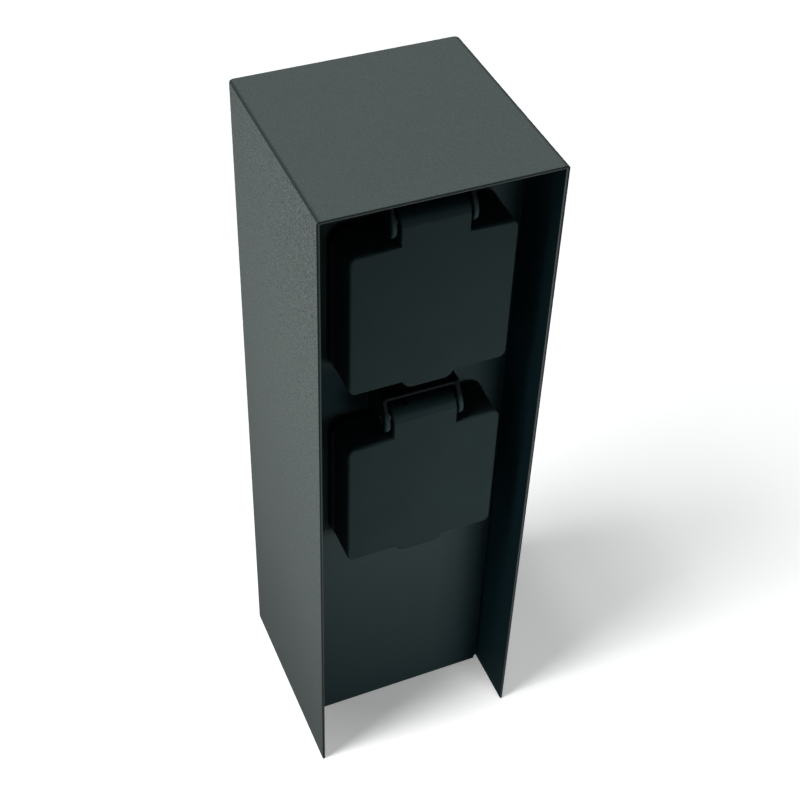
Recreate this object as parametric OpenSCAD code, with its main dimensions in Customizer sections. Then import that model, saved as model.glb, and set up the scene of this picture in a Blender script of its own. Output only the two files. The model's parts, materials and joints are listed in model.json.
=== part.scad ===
// Garden socket post: a folded sheet hood over a carrier panel with two splash-proof sockets.
// Millimetres. +X is right seen from the front, the front looks along -Y, +Z is up.
// The origin is on the ground in the middle of the post.

/* [Hood] */
// Width of the post
post_w = 75; // [72:1:90]
// Depth of the post
post_d = 75; // [72:1:90]
// Height of the post
post_h = 250; // [246:1:300]
// Thickness of the folded sheet
sheet_t = 1; // [0.8:0.1:1.5]
// Inside radius of the two bends at the back
back_bend_in = 1.2; // [0.6:0.2:4]
// Radius of the ground edges between the top plate and the sides
top_edge_r = 0.8; // [0.4:0.1:1.4]
// Free gap between the hood and the carrier inside it
hood_gap = 0.3; // [0.2:0.05:0.5]

/* [Carrier] */
// Depth of the panel's face behind the hood's front edge
recess = 21; // [20.5:0.5:23]
// Inside radius of the carrier's bends
carrier_bend_in = 0.5; // [0.3:0.1:1.2]
// Depth of the carrier's folded sides
side_fold = 16; // [12:1:20]
// Height of the upstand at the back of the foot
upstand_h = 28; // [26:1:34]
// Height of the cut-outs where the side folds meet the foot
corner_relief = 2.5; // [2.5:0.5:8]
// Distance between the ground holes, left to right
ground_pitch_x = 50; // [46:1:52]
// Distance between the ground holes, front to back
ground_pitch_y = 30; // [28:1:31]
// Radius of a ground hole
ground_hole_r = 2.75; // [2.2:0.05:3]

/* [Hood screws] */
// Distance between the two screws in the back wall
hood_screw_pitch = 24; // [20:1:30]
// Height of the screws above the ground
hood_screw_z = 18; // [16:1:20]
// Radius of the thread
hood_screw_r = 2; // [1.8:0.1:2.2]
// Radius of the countersunk head
hood_screw_head_r = 3.3; // [2.9:0.1:3.3]
// Outside radius of a clinch nut
clinch_nut_r = 3.6; // [3.4:0.1:4]
// Length of a clinch nut
clinch_nut_l = 4; // [3:0.5:4.5]

/* [Cable inlet] */
// Radius of the cable bore
inlet_r = 5; // [4:0.25:6]
// Wall of the grommet's sleeve
inlet_wall = 2; // [1.5:0.25:2.5]
// Height of the sleeve above the upper lip
inlet_sleeve_h = 8; // [5:0.5:12]
// Radius of the hole that the grommet snaps into
inlet_hole_r = 11; // [10:0.25:12]
// Width and thickness of the grommet's two lips
inlet_lip = 2; // [1.5:0.25:2.5]
// Rise of the dimple that keeps the lower lip off the ground
dimple_h = 3.5; // [3:0.25:5]

/* [Sockets] */
// Distance from the top of the post to the upper socket's axis
upper_drop = 45; // [44:0.5:48]
// Distance between the two socket axes
socket_pitch = 75.5; // [73:0.5:80]
// Width and height of the flange
flange_w = 54; // [53:0.5:56]
// Corner radius of the flange
flange_corner_r = 5.5; // [4:0.5:7]
// Thickness of the flange
flange_t = 2.8; // [2.4:0.1:3.2]
// Thickness of the gasket behind the flange
gasket_t = 1; // [0.6:0.1:1.5]
// Distance between the flange screws, both ways
flange_screw_pitch = 38; // [37:0.5:39]
// Radius of the flange screws' thread
flange_screw_r = 1.5; // [1.2:0.1:1.6]
// Radius of the flange screws' countersunk head
flange_screw_head_r = 2.8; // [2.6:0.1:3]
// Width across the flats of the nuts on the panel's studs and screws
small_nut_af = 5.5; // [5:0.1:6]
// Thickness of those nuts
small_nut_t = 2.4; // [2:0.1:3]
// Radius of the round well
well_r = 19.8; // [19.5:0.1:20]
// Depth of the well behind the collar's rim
well_depth = 17.5; // [17:0.5:18.5]
// Wall of the collar round the well
collar_wall = 1.7; // [1.4:0.1:1.9]
// Height of the collar in front of the flange
collar_h = 6.7; // [6:0.1:7]
// Thickness of the well's floor
floor_t = 4; // [3.6:0.1:5]
// Distance between the two pin holes
pin_pitch = 19; // [18.5:0.25:19.5]
// Radius of a pin hole
pin_hole_r = 2.6; // [2.5:0.05:2.7]
// Width of the two guide ribs in the well
guide_rib_w = 5.4; // [4:0.2:6]
// Height of the guide ribs off the well's wall
guide_rib_h = 2.2; // [1.6:0.1:2.6]
// Clearance round screws, studs and what sits in a pocket
clear = 0.15; // [0.1:0.05:0.2]

/* [Hinge] */
// Height of the hinge axis above the lid's top edge
hinge_rise = 5.5; // [5.4:0.1:6]
// Radius of the lid's knuckle
knuckle_r = 5; // [4.6:0.1:5.2]
// Wall of the knuckle in front of the spring
knuckle_wall = 1.4; // [1.2:0.1:1.6]
// Radius of the hinge pin
hinge_pin_r = 1.25; // [1:0.05:1.4]
// Radial play of the pin in the ears
ear_play = 0.02; // [0.01:0.01:0.05]
// Radial play of the lid on the pin
lid_play = 0.05; // [0.02:0.01:0.1]
// Radius of the ears' nose round the pin
ear_r = 4.4; // [4:0.1:4.5]
// Thickness of an ear
ear_t = 1.7; // [1.4:0.1:2.2]
// Gap between the knuckle and an ear
ear_gap = 1.1; // [0.6:0.1:1.4]
// Height of the hinge box's roof above the axis
roof_rise = 7.8; // [7.6:0.1:8.2]
// Thickness of the roof
roof_t = 1.4; // [1:0.1:1.5]
// Thickness of the spring wire
spring_wire = 0.8; // [0.6:0.05:0.9]
// Mean radius of the spring's coil
spring_coil_r = 2.3; // [2.15:0.05:2.4]
// Number of whole curls in the spring
spring_curls = 6; // [4:1:6]

/* [Lid] */
// Width and height of the lid
lid_w = 52; // [51:0.5:53]
// Depth of the lid from its rear edge to its front face
lid_depth = 12; // [11.6:0.1:12.6]
// Corner radius of the lid
lid_corner_r = 2.5; // [2:0.5:5]
// Wall of the lid's skirt
lid_wall = 1.8; // [1.4:0.1:2]
// Thickness of the lid's front
lid_front_t = 2; // [1.6:0.1:2.2]
// Gap between the closed lid and the flange
lid_gap = 0.3; // [0.2:0.1:0.6]
// Width of the hinge tab on the lid
tab_w = 21; // [20:0.5:22]
// Width of each of the two lugs on the pin
lug_w = 4; // [3:0.25:4]
// Width of the thumb tab where it leaves the lid
thumb_w = 17; // [14:0.5:20]
// Width of the thumb tab's flat lower edge
thumb_flat = 10; // [7:0.5:12]
// Drop of the thumb tab below the lid
thumb_drop = 2.7; // [2:0.1:3.5]
// Width of the sealing ring
seal_w = 3.4; // [2.5:0.1:3.6]
// Gap between the rib round the seal and the lid's skirt
seal_edge = 0.7; // [0.4:0.1:0.9]
// Gap between the closed lid's seal and the collar's rim
seal_gap = 0.3; // [0.2:0.05:0.4]
// Wall and height of the rib that holds the seal in the lid
seal_rib = 1; // [0.8:0.1:1.2]

/* [Contacts] */
// Depth of the contact base's front disc
base_disc_t = 4; // [3.5:0.25:5]
// Radius of the contact base's rear part
base_r = 18.6; // [18.4:0.1:19]
// Depth of the contact base's rear part
base_rear_t = 14; // [13.5:0.5:16]
// Wall behind the contact pockets
base_back_wall = 1.7; // [1.2:0.1:2.2]
// Inside radius of a contact sleeve
contact_r = 2.9; // [2.85:0.05:3]
// Wall of a contact sleeve
contact_wall = 0.6; // [0.4:0.1:0.7]
// Width of the slit in a contact sleeve
contact_slit = 0.8; // [0.5:0.1:1.2]
// Radius of the stems between contacts and wire clamps
stem_r = 1.5; // [1.2:0.1:1.8]
// Width of the earth strap
strap_w = 6; // [5:0.5:7]
// Thickness of the earth strap
strap_t = 0.8; // [0.6:0.1:1]
// Distance of the earth strap's arms from the well's wall
strap_stand_off = 1.2; // [0.8:0.1:1.6]
// Distance of the arms' ends behind the collar's rim
strap_set_back = 5; // [4:0.5:7]
// Radius of the contact bead on each arm
strap_bead_r = 1.2; // [1:0.1:1.4]
// Width of a wire clamp
clamp_w = 7; // [6:0.5:7.5]
// Height and depth of a wire clamp
clamp_h = 8; // [7:0.5:9]
// Radius of the clamp screws
clamp_screw_r = 1.25; // [1:0.05:1.4]
// Radius of the clamp screws' heads
clamp_head_r = 2.2; // [1.9:0.1:2.5]
// Height of the screw heads behind the base
screw_head_h = 1.5; // [1.2:0.1:2]
// Distance of the base screws from the middle, left to right
base_screw_x = 12; // [11.5:0.25:12.5]
// Distance of the base screws from the middle, up and down
base_screw_z = 9.5; // [9:0.25:10]
// Radius of the base screws
base_screw_r = 1.2; // [1:0.05:1.3]
// Bite of the base screws into the well's floor
base_screw_bite = 2.5; // [2:0.1:2.8]
// Wall of the rear cap
cap_wall = 1.8; // [1.4:0.1:2]
// Room behind the wire clamps, inside the rear cap
cap_room = 4.3; // [3.5:0.1:6]

/* [Terminal block] */
// Distance between the poles
pole_pitch = 11; // [10.5:0.25:12]
// Wall outside the outer poles
block_wall = 6.5; // [5.5:0.5:8]
// Depth of the block behind the panel
block_d = 16; // [14:0.5:17]
// Height of the block
block_h = 20; // [18:1:22]
// Height of the block's middle above the ground
block_z = 56; // [54:1:60]
// Outside radius of a brass sleeve
sleeve_r = 2.9; // [2.7:0.1:3.2]
// Bore radius of a brass sleeve
sleeve_bore_r = 1.9; // [1.7:0.1:2]
// Radius of the pole screws
pole_screw_r = 1.4; // [1.2:0.1:1.5]
// Depth of the pole screws' heads below the block's face
pole_screw_sink = 0.8; // [0.5:0.1:1.5]
// Radius of the two studs that carry the block
block_stud_r = 1.5; // [1.2:0.1:1.5]
// Length of stud and screw past the nuts
stud_tail = 1; // [0.5:0.1:1.5]

/* [Earth stud] */
// Distance of the earth stud from the carrier's side
earth_edge = 9.7; // [9:0.1:11]
// Height of the earth stud above the ground
earth_z = 58; // [56:1:62]
// Radius of the earth stud
earth_stud_r = 2; // [1.75:0.05:2.1]
// Outside radius of the lug's ring and of the washer
earth_ring_r = 4.6; // [4.4:0.1:5]
// Thickness of the lug and of the washer
earth_plate_t = 0.8; // [0.6:0.1:1]
// Length of the lug from the stud to the wire
lug_l = 14; // [12:0.5:16]
// Radius of the lug's crimp barrel
lug_barrel_r = 1.8; // [1.6:0.1:2]
// Width across the flats of the earth nut
earth_nut_af = 7; // [6.5:0.1:7.5]
// Thickness of the earth nut
earth_nut_t = 3.2; // [2.6:0.1:3.6]

/* [Wires] */
// Radius of an insulated wire
wire_r = 1.3; // [1:0.05:1.4]
// Radius of the wire holes in the clamps
wire_hole_r = 1.6; // [1.5:0.05:1.8]
// Bow of the link wires between the sockets
link_slack = 3.5; // [0:0.5:6]
// Drop of the panel's earth wire below the terminal block
earth_loop = 16; // [12:1:20]

/* [Hidden] */
$fn = 48;
cut = 1;
thread_play = 0.05;

// The post and its carrier
panel_y = -post_d / 2 + recess;
panel_back = panel_y + sheet_t;
carrier_w = post_w - 2 * (sheet_t + hood_gap);
carrier_top = post_h - sheet_t - hood_gap;
upstand_y = post_d / 2 - sheet_t - hood_gap;
carrier_bend_r = carrier_bend_in + sheet_t;
foot_w = carrier_w - 2 * carrier_bend_r;
foot_y = (panel_y + post_d / 2) / 2;
dimple_r = inlet_hole_r + inlet_lip + 2 * sheet_t;
upper_z = post_h - upper_drop;
lower_z = upper_z - socket_pitch;
hood_screw_l = 2 * sheet_t + hood_gap + clinch_nut_l;

// One socket, seen from the panel's face: -Y is out of the panel, and z = 0 is the socket's axis
collar_r = well_r + collar_wall;
cutout_r = collar_r + 2 * clear;
flange_y = -gasket_t - flange_t;
rim_y = flange_y - collar_h;
floor_y = rim_y + well_depth;
base_y = floor_y + floor_t;
shoulder_y = base_y + base_disc_t;
clamp_y = shoulder_y + base_rear_t;
pocket_end = clamp_y - base_back_wall;
clamp_mid = clamp_y + clamp_h / 2;
clamp_end = clamp_y + clamp_h;
cap_end = clamp_end + cap_room;
cap_r = base_r + clear + cap_wall;
pin_x = pin_pitch / 2;
terminals = [-pin_x, 0, pin_x];
arm_z = well_r - strap_stand_off;

// The lid and its hinge
lid_back = flange_y - lid_gap;
lid_front = lid_back - lid_depth;
lid_top = lid_w / 2;
lid_inside = lid_front + lid_front_t;
axis_y = lid_front + knuckle_r;
axis_z = lid_top + hinge_rise;
tab_x = tab_w / 2;
ear_x = tab_x + ear_gap;
ear_out = ear_x + ear_t;
roof_z = axis_z + roof_rise;
spring_x = tab_x - lug_w;
seal_rib_r = lid_top - lid_wall - seal_edge;
seal_out = seal_rib_r - seal_rib - clear;

// The spring: a leg from the flange, the coil on the pin and a leg behind the lid's tab
coil_start = 30;
coil_end = 180;
coil_turn = 360 * spring_curls + coil_end - coil_start;
coil_steps = 8 * spring_curls + 4;
coil_half = spring_x - spring_wire;
leg_seat = flange_y - axis_y - clear;
leg_low = lid_top - axis_z - spring_wire;
leg_tip = lid_top - axis_z - lid_wall - spring_wire;
leg_slot = spring_wire + clear - coil_half;
function coil_point(i) =
    let (a = coil_start + coil_turn * i / coil_steps, x = coil_half * (2 * i / coil_steps - 1))
        [x, spring_coil_r * cos(a), spring_coil_r * sin(a)];
spring_path = concat(
    [[-coil_half, leg_seat, leg_low], [-coil_half, leg_seat - 2 * spring_wire, leg_low]],
    [for (i = [0:coil_steps]) coil_point(i)],
    [[coil_half, -spring_coil_r, leg_tip / 2], [coil_half, -spring_coil_r, leg_tip]]);
spring_sides = 6;
far_apart = 5;
spring_gap = min([for (i = [0:len(spring_path) - 1 - far_apart], j = [i + far_apart:len(spring_path) - 1])
    norm(spring_path[i] - spring_path[j])]) - spring_wire;
echo(least_gap_between_spring_curls = spring_gap);

// The terminal block, and the wires from it to the lower socket and on to the upper one
poles = [-pole_pitch, 0, pole_pitch];
pole_y = panel_back + block_d / 2;
block_end = panel_back + block_d;
block_w = 2 * (pole_pitch + block_wall);
block_top = block_z + block_h / 2;
terminal_y = panel_y + clamp_mid;
earth_x = carrier_w / 2 - earth_edge;
lug_end = earth_z - lug_l;
lug_y = panel_back + lug_barrel_r + clear / 2;
wire_sides = 8;
wire_bends = [0:8];
feed_lean = [0, 0, 0.05, 0.25, 0.5, 0.75, 0.95, 1];
feed_rise = [0, 0.12, 0.28, 0.42, 0.54, 0.67, 0.83, 1];
link_bow = [0, 0, 0.15, 0.7, 1, 0.7, 0.15, 0, 0];
earth_lean = [0, 0, 0.1, 0.35, 0.65, 0.88, 0.98, 1, 1];
earth_dip = [0, 0.35, 0.7, 0.93, 1, 0.9, 0.6, 0.25, 0];
function along(a, b, t) = a + (b - a) * t;
function feed_route(pole, end) = concat(
    [for (i = [0:len(feed_lean) - 1]) [
        along(pole, end, feed_lean[i]),
        along(pole_y, terminal_y, feed_lean[i]),
        along(block_top, lower_z - cap_r, feed_rise[i])]],
    [[end, terminal_y, lower_z - clamp_h / 2]]);
function link_route(end) = [for (i = wire_bends) [
    end,
    terminal_y + link_slack * link_bow[i],
    along(lower_z + clamp_h / 2, upper_z - clamp_h / 2, i / 8)]];
earth_route = [for (i = wire_bends) [
    along(0, earth_x, earth_lean[i]),
    along(pole_y, lug_y, earth_lean[i]),
    along(block_z - block_h / 2, lug_end, i / 8) - earth_loop * earth_dip[i]]];

// Colours, as the photograph shows them, and usual ones for the pieces inside
coat = [0.36, 0.39, 0.38];
lid_grey = [0.16, 0.19, 0.2];
black = [0.06, 0.07, 0.08];
rubber = [0.1, 0.1, 0.1];
steel = [0.72, 0.73, 0.75];
brass = [0.8, 0.66, 0.3];
ivory = [0.85, 0.84, 0.78];
brown = [0.4, 0.22, 0.1];
blue = [0.1, 0.3, 0.65];
green = [0.35, 0.6, 0.1];

// Places

module upper() {
    translate([0, panel_y, upper_z])
        children();
}

module lower() {
    translate([0, panel_y, lower_z])
        children();
}

module at_sockets() {
    upper() children();
    lower() children();
}

module at_flange_screws() {
    for (x = [-1, 1], z = [-1, 1])
        translate([x * flange_screw_pitch / 2, 0, z * flange_screw_pitch / 2])
            children();
}

module at_base_screws() {
    for (side = [-1, 1])
        translate([side * base_screw_x, 0, side * base_screw_z])
            children();
}

module at_terminals() {
    for (x = terminals)
        translate([x, 0, 0])
            children();
}

// The hood's screws start at the back wall's outer face and point into the post along +y
module at_hood_screws() {
    for (side = [-1, 1])
        translate([side * hood_screw_pitch / 2, post_d / 2, hood_screw_z])
            rotate([0, 0, 180])
                children();
}

module at_block_studs() {
    for (side = [-1, 1])
        translate([side * pole_pitch / 2, 0, block_z])
            children();
}

module at_pole_screws() {
    for (x = poles, side = [-1, 1])
        translate([x, 0, block_z + side * block_h / 4])
            children();
}

// Shapes that repeat

// A rectangle with round corners, centred
module round_rect(w, h, r) {
    square([w - 2 * r, h], center = true);
    square([w, h - 2 * r], center = true);
    for (x = [-1, 1], y = [-1, 1])
        translate([x * (w / 2 - r), y * (h / 2 - r)])
            circle(r);
}

// A rectangle with round corners on its high edge alone
module arch(w, low, high, r) {
    translate([-w / 2, low])
        square([w, high - low - r]);
    translate([r - w / 2, low])
        square([w - 2 * r, high - low]);
    for (side = [-1, 1])
        translate([side * (w / 2 - r), high - r])
            circle(r);
}

// The section of a sheet folded into a U: its base lies on the x axis and its sides rise to h
module folded(w, h, r) {
    mirror([0, 1])
        difference() {
            arch(w, -h, 0, r);
            arch(w - 2 * sheet_t, -h - cut, -sheet_t, r - sheet_t);
        }
}

// A box between two corners
module block(low, high) {
    translate(low)
        cube(high - low);
}

// A solid with an outline in x and z, between two depths
module slab(y0, y1) {
    translate([0, y1, 0])
        rotate([90, 0, 0])
            linear_extrude(y1 - y0)
                children();
}

// A solid with an outline in y and z, between two places across the post
module across(x0, x1) {
    translate([x0, 0, 0])
        rotate([90, 0, 90])
            linear_extrude(x1 - x0)
                children();
}

// A round bar along y
module bar(r, y0, y1) {
    translate([0, y0, 0])
        rotate([-90, 0, 0])
            cylinder(r = r, h = y1 - y0);
}

// A round bar on the hinge axis
module axle(r, x0, x1) {
    translate([x0, axis_y, axis_z])
        rotate([0, 90, 0])
            cylinder(r = r, h = x1 - x0);
}

// A countersunk screw that points along +y, its head flush at y0
module countersunk(r, head_r, y0, y1) {
    translate([0, y0, 0])
        rotate([-90, 0, 0])
            cylinder(r1 = head_r, r2 = r, h = head_r - r);
    bar(r, y0, y1);
}

// A hexagon nut along y
module hex_nut(af, bore_r, y0, y1) {
    difference() {
        translate([0, y0, 0])
            rotate([-90, 0, 0])
                cylinder(r = af / sqrt(3), h = y1 - y0, $fn = 6);
        bar(bore_r, y0 - cut, y1 + cut);
    }
}

// A tube swept along points, with square ends
function unit(v) = v / norm(v);
function heading(p, i) = unit(p[min(i + 1, len(p) - 1)] - p[max(i - 1, 0)]);
function carried(n, t) = unit(n - (n * t) * t);
function normals(p, i, n) =
    i == len(p) ? [] : let (m = carried(n, heading(p, i))) concat([m], normals(p, i + 1, m));
function ring(c, n, t, r, sides) =
    let (b = cross(t, n))
        [for (k = [0:sides - 1]) let (a = 360 * k / sides) c + r * (cos(a) * n + sin(a) * b)];

module tube(path, r, sides) {
    side = normals(path, 0, [1, 0, 0]);
    last = len(path) - 1;
    points = [for (i = [0:last]) each ring(path[i], side[i], heading(path, i), r, sides)];
    walls = [for (i = [0:last - 1], k = [0:sides - 1])
        let (a = i * sides + k, b = i * sides + (k + 1) % sides)
            each [[a, a + sides, b], [b, a + sides, b + sides]]];
    first_end = [for (k = [1:sides - 2]) [0, k, k + 1]];
    last_end = [for (k = [1:sides - 2]) [for (v = [0, k + 1, k]) last * sides + v]];
    polyhedron(points = points, faces = concat(walls, first_end, last_end));
}

// Post and carrier

module hood_block(inset, front, low) {
    translate([0, 0, low])
        linear_extrude(post_h - inset - low)
            arch(post_w - 2 * inset, front, post_d / 2 - inset, back_bend_in + sheet_t - inset);
}

module outer_hood() {
    color(coat)
        difference() {
            intersection() {
                hood_block(0, -post_d / 2, 0);
                slab(-post_d / 2, post_d / 2)
                    arch(post_w, 0, post_h, top_edge_r);
            }
            hood_block(sheet_t, -post_d / 2 - cut, -cut);
            at_hood_screws()
                countersunk(hood_screw_r + clear, hood_screw_head_r + clear, 0, sheet_t + cut);
        }
}

module foot_holes() {
    for (x = [-1, 1], y = [-1, 1])
        translate([x * ground_pitch_x / 2, foot_y + y * ground_pitch_y / 2, -cut])
            cylinder(r = ground_hole_r, h = sheet_t + 2 * cut);
    translate([0, foot_y, -cut])
        cylinder(r = dimple_r - sheet_t, h = dimple_h + cut);
    translate([0, foot_y, -cut])
        cylinder(r = inlet_hole_r, h = dimple_h + sheet_t + 2 * cut);
}

module socket_holes() {
    bar(cutout_r, -cut, sheet_t + cut);
    at_flange_screws()
        bar(flange_screw_r + clear, -cut, sheet_t + cut);
}

module socket_panel() {
    color(coat)
        difference() {
            union() {
                translate([0, panel_y, corner_relief])
                    linear_extrude(carrier_top - corner_relief)
                        folded(carrier_w, side_fold, carrier_bend_r);
                across(-foot_w / 2, foot_w / 2)
                    translate([(panel_y + upstand_y) / 2, 0])
                        folded(upstand_y - panel_y, upstand_h, carrier_bend_r);
                translate([0, foot_y, 0])
                    cylinder(r = dimple_r, h = dimple_h + sheet_t);
            }
            foot_holes();
            at_sockets()
                socket_holes();
            at_hood_screws()
                bar(hood_screw_r + clear, sheet_t, 2 * sheet_t + hood_gap + cut);
        }
}

module block_studs() {
    color(steel)
        at_block_studs()
            bar(block_stud_r, panel_back, block_end + small_nut_t + stud_tail);
}

module earth_stud() {
    color(steel)
        translate([earth_x, panel_back, earth_z])
            bar(earth_stud_r, 0, 2 * earth_plate_t + earth_nut_t + stud_tail);
}

module hood_screws() {
    color(steel)
        at_hood_screws()
            countersunk(hood_screw_r, hood_screw_head_r, 0, hood_screw_l);
}

module clinch_nuts() {
    color(steel)
        at_hood_screws()
            difference() {
                bar(clinch_nut_r, 2 * sheet_t + hood_gap, hood_screw_l);
                bar(hood_screw_r + thread_play, 0, hood_screw_l + cut);
            }
}

module cable_grommet() {
    plate_top = dimple_h + sheet_t;
    lip_r = inlet_hole_r + inlet_lip;
    color(rubber)
        translate([0, foot_y, 0])
            difference() {
                union() {
                    translate([0, 0, dimple_h - inlet_lip])
                        cylinder(r = lip_r, h = inlet_lip);
                    translate([0, 0, dimple_h - inlet_lip])
                        cylinder(r = inlet_hole_r - thread_play, h = 2 * inlet_lip + sheet_t);
                    translate([0, 0, plate_top])
                        cylinder(r = lip_r, h = inlet_lip);
                    translate([0, 0, plate_top])
                        cylinder(r = inlet_r + inlet_wall, h = inlet_lip + inlet_sleeve_h);
                }
                translate([0, 0, -cut])
                    cylinder(r = inlet_r, h = plate_top + inlet_lip + inlet_sleeve_h + 2 * cut);
            }
}

// Terminal block and earth stud

module terminal_block() {
    color(ivory)
        difference() {
            block([-block_w / 2, panel_back, block_z - block_h / 2], [block_w / 2, block_end, block_top]);
            for (x = poles)
                translate([x, pole_y, block_z])
                    cylinder(r = sleeve_r + clear, h = block_h + cut, center = true);
            at_pole_screws()
                bar(pole_screw_r + clear, pole_y, block_end + cut);
            at_block_studs()
                bar(block_stud_r + clear, panel_back - cut, block_end + cut);
        }
}

module terminal_sleeves() {
    color(brass)
        difference() {
            for (x = poles)
                translate([x, pole_y, block_z])
                    cylinder(r = sleeve_r, h = block_h, center = true);
            for (x = poles)
                translate([x, pole_y, block_z])
                    cylinder(r = sleeve_bore_r, h = block_h + cut, center = true);
            at_pole_screws()
                bar(pole_screw_r + thread_play, pole_y, block_end);
        }
}

module terminal_block_screws() {
    color(steel)
        at_pole_screws()
            bar(pole_screw_r, pole_y + sleeve_bore_r, block_end - pole_screw_sink);
}

module terminal_block_nuts() {
    color(steel)
        at_block_studs()
            hex_nut(small_nut_af, block_stud_r + thread_play, block_end, block_end + small_nut_t);
}

module earth_ring(y0) {
    translate([earth_x, panel_back, earth_z])
        difference() {
            bar(earth_ring_r, y0, y0 + earth_plate_t);
            bar(earth_stud_r + clear, y0 - cut, y0 + earth_plate_t + cut);
        }
}

module earth_lug() {
    tongue_w = 2 * lug_barrel_r;
    color(brass) {
        earth_ring(0);
        block([earth_x - tongue_w / 2, panel_back, lug_end + lug_l / 4],
              [earth_x + tongue_w / 2, panel_back + earth_plate_t, earth_z - earth_stud_r - sheet_t]);
        translate([earth_x, lug_y, lug_end])
            cylinder(r = lug_barrel_r, h = lug_l / 2);
    }
}

module earth_washer() {
    color(steel)
        earth_ring(earth_plate_t);
}

module earth_nut() {
    color(steel)
        translate([earth_x, panel_back, earth_z])
            hex_nut(earth_nut_af, earth_stud_r + thread_play,
                    2 * earth_plate_t, 2 * earth_plate_t + earth_nut_t);
}

module wire(path) {
    tube(path, wire_r, wire_sides);
}

module live_feed_wire() {
    color(brown) wire(feed_route(poles[0], terminals[0]));
}

module earth_feed_wire() {
    color(green) wire(feed_route(poles[1], terminals[1]));
}

module neutral_feed_wire() {
    color(blue) wire(feed_route(poles[2], terminals[2]));
}

module live_link_wire() {
    color(brown) wire(link_route(terminals[0]));
}

module earth_link_wire() {
    color(green) wire(link_route(terminals[1]));
}

module neutral_link_wire() {
    color(blue) wire(link_route(terminals[2]));
}

module panel_earth_wire() {
    color(green) wire(earth_route);
}

// One socket

// The square flange with the tongue that backs the hinge box
module flange_outline() {
    round_rect(flange_w, flange_w, flange_corner_r);
    translate([-ear_out, 0])
        square([2 * ear_out, roof_z]);
}

// An ear's side view: a round nose on the pin that runs back to the flange and up to the roof
module ear_outline() {
    to_roof = [0, roof_rise];
    touch = atan2(to_roof[1], to_roof[0]) + acos(ear_r / norm(to_roof));
    translate([axis_y, axis_z]) {
        circle(ear_r);
        polygon([
            [flange_y - axis_y + cut, -ear_r],
            [0, -ear_r],
            [ear_r * cos(touch), ear_r * sin(touch)],
            to_roof,
            [flange_y - axis_y + cut, roof_rise]]);
    }
}

module hinge_box() {
    for (side = [-1, 1])
        across(min(side * ear_x, side * ear_out), max(side * ear_x, side * ear_out))
            ear_outline();
    block([-ear_out, axis_y, roof_z - roof_t], [ear_out, flange_y + cut, roof_z]);
}

// The slots that let the earth strap's arms into the well
module arm_slots() {
    for (side = [-1, 1])
        rotate([0, side * 90 - 90, 0])
            block([-strap_w / 2 - clear, floor_y - cut, arm_z - strap_t - clear],
                  [strap_w / 2 + clear, base_y + cut, arm_z + clear]);
}

module housing() {
    color(black) {
        difference() {
            union() {
                slab(flange_y, -gasket_t)
                    flange_outline();
                bar(collar_r, rim_y, base_y);
                hinge_box();
            }
            bar(well_r, rim_y - cut, floor_y);
            for (x = [-pin_x, pin_x])
                translate([x, 0, 0])
                    bar(pin_hole_r, floor_y - cut, base_y + cut);
            arm_slots();
            at_flange_screws()
                countersunk(flange_screw_r + clear, flange_screw_head_r + clear, flange_y, 0);
            at_base_screws()
                bar(base_screw_r + thread_play, base_y - base_screw_bite - clear, base_y + cut);
            axle(hinge_pin_r + ear_play, -ear_out - cut, ear_out + cut);
        }
        guide_ribs();
    }
}

module guide_ribs() {
    for (side = [-1, 1])
        rotate([0, side * 90 - 90, 0])
            block([well_r - guide_rib_h, rim_y + guide_rib_h, -guide_rib_w / 2],
                  [well_r + collar_wall / 2, floor_y + cut, guide_rib_w / 2]);
}

module flange_gasket() {
    color(rubber)
        difference() {
            slab(-gasket_t, 0)
                flange_outline();
            bar(cutout_r, -gasket_t - cut, cut);
            at_flange_screws()
                bar(flange_screw_r + clear, -gasket_t - cut, cut);
        }
}

module flange_screws() {
    color(steel)
        at_flange_screws()
            countersunk(flange_screw_r, flange_screw_head_r, flange_y, sheet_t + small_nut_t + stud_tail);
}

module flange_nuts() {
    color(steel)
        at_flange_screws()
            hex_nut(small_nut_af, flange_screw_r + thread_play, sheet_t, sheet_t + small_nut_t);
}

module contact_base() {
    color(ivory)
        difference() {
            union() {
                bar(collar_r, base_y, shoulder_y);
                bar(base_r, shoulder_y, clamp_y);
            }
            for (x = [-pin_x, pin_x])
                translate([x, 0, 0])
                    bar(contact_r + contact_wall + clear, base_y - cut, pocket_end);
            at_terminals()
                bar(stem_r + clear, base_y - cut, clamp_y + cut);
            block([-strap_w / 2 - clear, base_y - cut, -arm_z - clear],
                  [strap_w / 2 + clear, base_y + strap_t + clear, arm_z + clear]);
            at_base_screws()
                bar(base_screw_r + clear, base_y - cut, clamp_y + cut);
        }
}

module base_screws() {
    color(steel)
        at_base_screws() {
            bar(base_screw_r, base_y - base_screw_bite, clamp_y + cut);
            bar(2 * base_screw_r, clamp_y, clamp_y + screw_head_h);
        }
}

// A brass block with a hole for a wire from above and below, and a thread for its screw
module wire_clamp() {
    difference() {
        block([-clamp_w / 2, clamp_y, -clamp_h / 2], [clamp_w / 2, clamp_end, clamp_h / 2]);
        translate([0, clamp_mid, 0])
            cylinder(r = wire_hole_r, h = clamp_h + cut, center = true);
        bar(clamp_screw_r + thread_play, clamp_mid, clamp_end + cut);
    }
}

module pin_contact(side) {
    sleeve_end = pocket_end - clear;
    sleeve_out = contact_r + contact_wall;
    color(brass)
        translate([side * pin_x, 0, 0]) {
            difference() {
                bar(sleeve_out, base_y + clear, sleeve_end);
                bar(contact_r, base_y, sleeve_end - contact_wall);
                block([-contact_slit / 2, base_y, 0],
                      [contact_slit / 2, sleeve_end - contact_wall, sleeve_out + cut]);
            }
            bar(stem_r, sleeve_end - contact_wall / 2, clamp_y + contact_wall);
            wire_clamp();
        }
}

module live_contact() {
    pin_contact(-1);
}

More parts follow.
